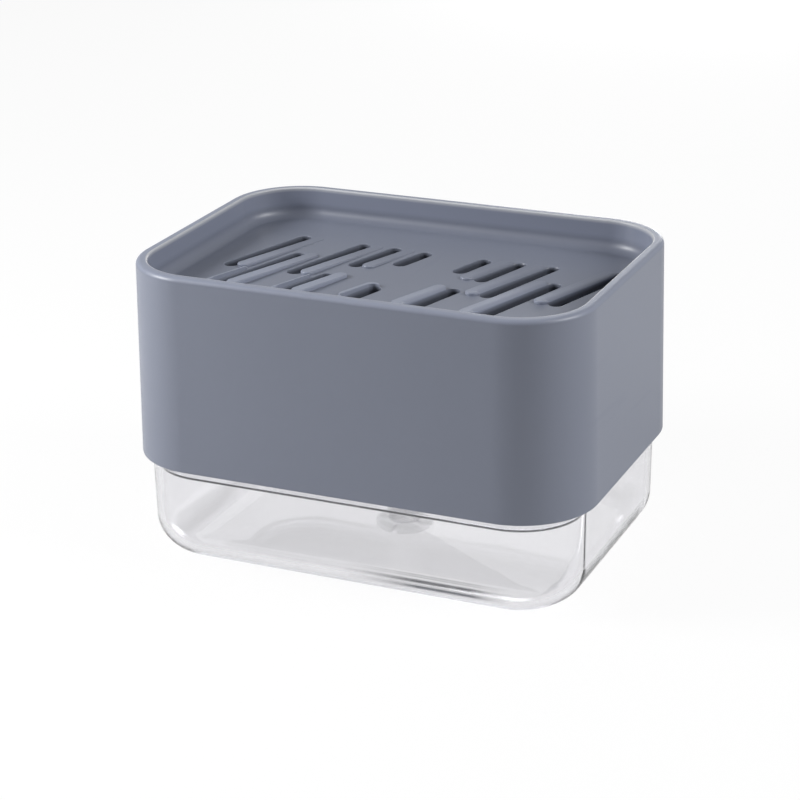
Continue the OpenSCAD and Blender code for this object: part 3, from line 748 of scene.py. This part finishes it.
# Dark streaks of painted shade low on the tub's front wall, where it shows the skirt, with painted
# shade near its base too. A streak: height, half its width, strength
streaks = {
    "lines": [(6.0 * mm, 1.3 * mm, 1.0), (8.1 * mm, 0.7 * mm, 0.9), (10.0 * mm, 0.4 * mm, 0.5)],
    "lineRamp": (0.3, 1), "tone": colour(0.03, 0.032, 0.04), "front": -44 * mm,
    "start": (0, 24 * mm), "end": (54 * mm, 12 * mm),
    "base": 0.86, "baseShadeTop": 5 * mm, "baseShadeRamp": (0.3, 1),
}


def paintedStreakTone(f, tone, x, y, z):
    # painted shade: the tub is darker toward its base
    base = darker(clear["tone"], streaks["base"])
    tone = f.mix(f.ramp(z * (1 / streaks["baseShadeTop"]), *streaks["baseShadeRamp"]), base, tone)
    (start, rise), (end, fall) = streaks["start"], streaks["end"]
    along = f.ramp((x - start) * (1 / rise), 0, 1) * f.ramp((end - x) * (1 / fall), 0, 1)
    along = along * y.below(streaks["front"])
    # painted shade: each dark streak along the front wall
    for height, half, strength in streaks["lines"]:
        near = 1 - f.ramp((z - height).absolute() * (1 / half), *streaks["lineRamp"])
        tone = f.mix(near * along * strength, tone, streaks["tone"])
    return tone


def clearPlastic(name, shadeLineZ=None, paintStreaks=False):
    # the edge height, if given, is where a thin dark line of painted shade is drawn
    p = clear
    material, f = newMaterial(name)
    x, y, z = [f.place(axis) for axis in "XYZ"]
    cloud = f.noise(*p["cloudNoise"])
    tone = f.mix(cloud, p["tone"], p["cloud"])
    if shadeLineZ is not None:
        # painted shade: a thin dark line along the edge's height
        away = (z - shadeLineZ).absolute() * (1 / p["edge"])
        tone = f.mix(f.ramp(away, *p["edgeShadeRamp"]), p["edgeShadeTone"], tone)
    if paintStreaks:
        tone = paintedStreakTone(f, tone, x, y, z)
    roughness = p["roughness"] + f.ramp(cloud, *p["cloudRamp"]) * p["cloudSpread"]
    f.clearSurface({
        "Base Color": tone, "Roughness": roughness, "IOR": p["ior"], "Transmission Weight": 1.0,
        "Normal": f.bump(f.noise(*p["waveNoise"]), p["wave"], p["waveStrength"])},
        p["shadow"], p["absorb"], p["density"])
    return material


# Frosted plastic of the dip tube and its foot
frosted = {
    "tone": colour(0.9, 0.9, 0.91), "cloudNoise": (80, 3), "cloudShare": 0.94, "alpha": 0.2,
    "roughness": 0.3, "spread": 0.1, "ior": 1.49,
    "grainNoise": (1200, 2), "grain": 0.02 * mm, "grainStrength": 0.3,
}

# Moulded plastics and silicones, with the tone and roughness of each
moulded = {
    "cloudNoise": (60, 3), "cloudShare": 0.92, "spread": 0.12, "ior": 1.5,
    "grainNoise": (700, 2), "grain": 0.03 * mm, "grainStrength": 0.3,
    "whitePlastic": (colour(0.80, 0.80, 0.77), 0.38),
    "bluePlastic": (colour(0.06, 0.15, 0.40), 0.36),
    "darkSilicone": (colour(0.02, 0.02, 0.022), 0.55),
    "paleSilicone": (colour(0.55, 0.57, 0.60), 0.5),
}

# Steels, with the tone, roughness and streaks' stretch of each
steels = {
    "streakNoise": (1500, 2), "streakShare": 0.82, "spread": 0.1,
    "ballSteel": (colour(0.75, 0.76, 0.78), 0.12, (1, 1, 1)),
    "springSteel": (colour(0.60, 0.61, 0.63), 0.3, (1, 1, 0.2)),
}


def grained(f, p, tone, roughness):
    # what the frosted and the moulded finishes share
    cloud = f.noise(*p["cloudNoise"])
    return {
        "Base Color": f.mix(cloud, tone, darker(tone, p["cloudShare"])),
        "Roughness": roughness + (cloud - 0.5) * p["spread"], "IOR": p["ior"],
        "Normal": f.bump(f.noise(*p["grainNoise"]), p["grain"], p["grainStrength"])}


def frostedPlastic():
    material, f = newMaterial("frostedPlastic")
    values = grained(f, frosted, frosted["tone"], frosted["roughness"])
    f.surface({**values, "Alpha": frosted["alpha"]})
    return material


def mouldedFinish(name):
    material, f = newMaterial(name)
    f.surface(grained(f, moulded, *moulded[name]))
    return material


def steelFinish(name):
    tone, roughness, stretch = steels[name]
    material, f = newMaterial(name)
    streak = f.noise(*steels["streakNoise"], stretch)
    f.surface({
        "Base Color": f.mix(streak, tone, darker(tone, steels["streakShare"])),
        "Roughness": roughness + (streak - 0.5) * steels["spread"], "Metallic": 1.0})
    return material


def wear(piece, material):
    piece.data.materials.clear()
    piece.data.materials.append(material)


# Studio: white floor and surroundings, and square softboxes to the left, the right and the back
studio = {
    "floorSize": 40.0, "floorTone": 0.9, "floorSeen": 0.93, "floorGloss": 0.3, "skyGloss": 0.5,
    "world": 0.005, "white": colour(1, 1, 1), "aim": (0, 0, 0.06),
    # azimuth from the right, elevation, distance, side of the square, power
    "lamps": {
        "leftSoftbox": (-150, 30, 0.6, 0.2, 3.7),
        "leftFarSoftbox": (-150, 16, 1.2, 0.5, 2.6),
        "rightFarSoftbox": (5, 30, 1.2, 0.5, 10.8),
        "rightSoftbox": (-15, 50, 0.7, 0.2, 0.45),
        "rearSoftbox": (100, 3, 0.9, 0.3, 1.7),
        "backSoftbox": (110, 60, 0.9, 0.45, 0.87),
    },
}


def seenRays(f, cameraShare, glossShare):
    # rays that see the white surroundings themselves: from the camera, a gloss or a clear wall
    kinds = ("Is Camera Ray", "Is Glossy Ray", "Is Transmission Ray")
    camera, gloss, through = [f.node("ShaderNodeLightPath", {}, {}, kind) for kind in kinds]
    return camera * cameraShare + gloss * glossShare + through


def makeFloor():
    bm = bmesh.new()
    bmesh.ops.create_grid(bm, x_segments=1, y_segments=1, size=studio["floorSize"])
    floor = newPiece("studioFloor", bm)
    material, f = newMaterial("floorWhite")
    tone = studio["floorTone"]
    shade = f.node("ShaderNodeBsdfDiffuse", {}, {"Color": colour(tone, tone, tone)})
    glow = f.node("ShaderNodeEmission", {}, {"Color": studio["white"], "Strength": 1.0})
    seen = seenRays(f, studio["floorSeen"], studio["floorGloss"])
    mixed = f.node("ShaderNodeMixShader", {}, {0: seen, 1: shade, 2: glow})
    f.node("ShaderNodeOutputMaterial", {}, {"Surface": mixed})
    wear(floor, material)


def makeWorld():
    world = bpy.data.worlds.new("studio")
    bpy.context.scene.world = world
    world.use_nodes = True
    f = Finish(world.node_tree)
    strength = seenRays(f, 1.0, studio["skyGloss"]) * (1 - studio["world"]) + studio["world"]
    sky = f.node("ShaderNodeBackground", {}, {"Color": studio["white"], "Strength": strength})
    f.node("ShaderNodeOutputWorld", {}, {"Surface": sky})


def makeLamp(name, azimuth, elevation, distance, size, power):
    az, el = math.radians(azimuth), math.radians(elevation)
    aim = Vector(studio["aim"])
    away = Vector((math.cos(az) * math.cos(el), math.sin(az) * math.cos(el), math.sin(el)))
    lamp = bpy.data.lights.new(name, "AREA")
    lamp.shape, lamp.size, lamp.energy = "SQUARE", size, power
    lampObject = bpy.data.objects.new(name, lamp)
    bpy.context.scene.collection.objects.link(lampObject)
    lampObject.location = aim + away * distance
    lampObject.rotation_euler = away.to_track_quat("Z", "Y").to_euler()


def makeCamera():
    az, el, roll = [math.radians(view[k]) for k in ("azimuth", "elevation", "roll")]
    back = Vector((math.sin(az) * math.cos(el), -math.cos(az) * math.cos(el), math.sin(el)))
    level = Vector((math.cos(az), math.sin(az), 0))
    upright = back.cross(level)
    right = math.cos(roll) * level + math.sin(roll) * upright
    up = math.cos(roll) * upright - math.sin(roll) * level
    eye = view["aim"] - view["right"] * right - view["up"] * up + view["distance"] * back
    data = bpy.data.cameras.new("camera")
    data.sensor_fit, data.sensor_width, data.lens = "HORIZONTAL", view["sensor"], view["lens"]
    data.clip_start, data.clip_end = view["clip"]
    camera = bpy.data.objects.new("camera", data)
    bpy.context.scene.collection.objects.link(camera)
    camera.matrix_world = Matrix.Translation(eye) @ Matrix((right, up, back)).transposed().to_4x4()
    bpy.context.scene.camera = camera
    bpy.context.scene.view_settings.view_transform = "Standard"


makeCamera()
makeWorld()
makeFloor()
for lampName, lampSettings in studio["lamps"].items():
    makeLamp(lampName, *lampSettings)
print("studio ready")

slateFinish = slatePlastic()
clearFinish = clearPlastic("clearPlastic")
lidFinish = clearPlastic("clearLidPlastic", lid["plugLow"])
tubFinish = clearPlastic("clearTubPlastic", paintStreaks=True)
frostedFinish = frostedPlastic()
whiteFinish = mouldedFinish("whitePlastic")
blueFinish = mouldedFinish("bluePlastic")
rubberFinish = mouldedFinish("darkSilicone")
sealFinish = mouldedFinish("paleSilicone")
ballFinish = steelFinish("ballSteel")
springFinish = steelFinish("springSteel")
bySlot = {
    "slate_plastic": slateFinish, "clear_plastic": clearFinish, "clear_tube": frostedFinish,
    "white_plastic": whiteFinish, "blue_plastic": blueFinish, "dark_silicone": rubberFinish,
    "pale_silicone": sealFinish, "ball_steel": ballFinish, "spring_steel": springFinish,
}
for part in frame["record"]["subparts"]:
    wear(frame["nodes"][part["node"]], bySlot[part["material_slot"]])
print("finishes ready")

for maker, finish in [(makeShell, slateFinish), (makeTub, tubFinish), (makeLid, lidFinish),
                      (makeCap, whiteFinish), (makeHead, whiteFinish), (makeFoot, frostedFinish),
                      (makeSpring, springFinish)]:
    wear(maker(), finish)
print("pieces made and finished")
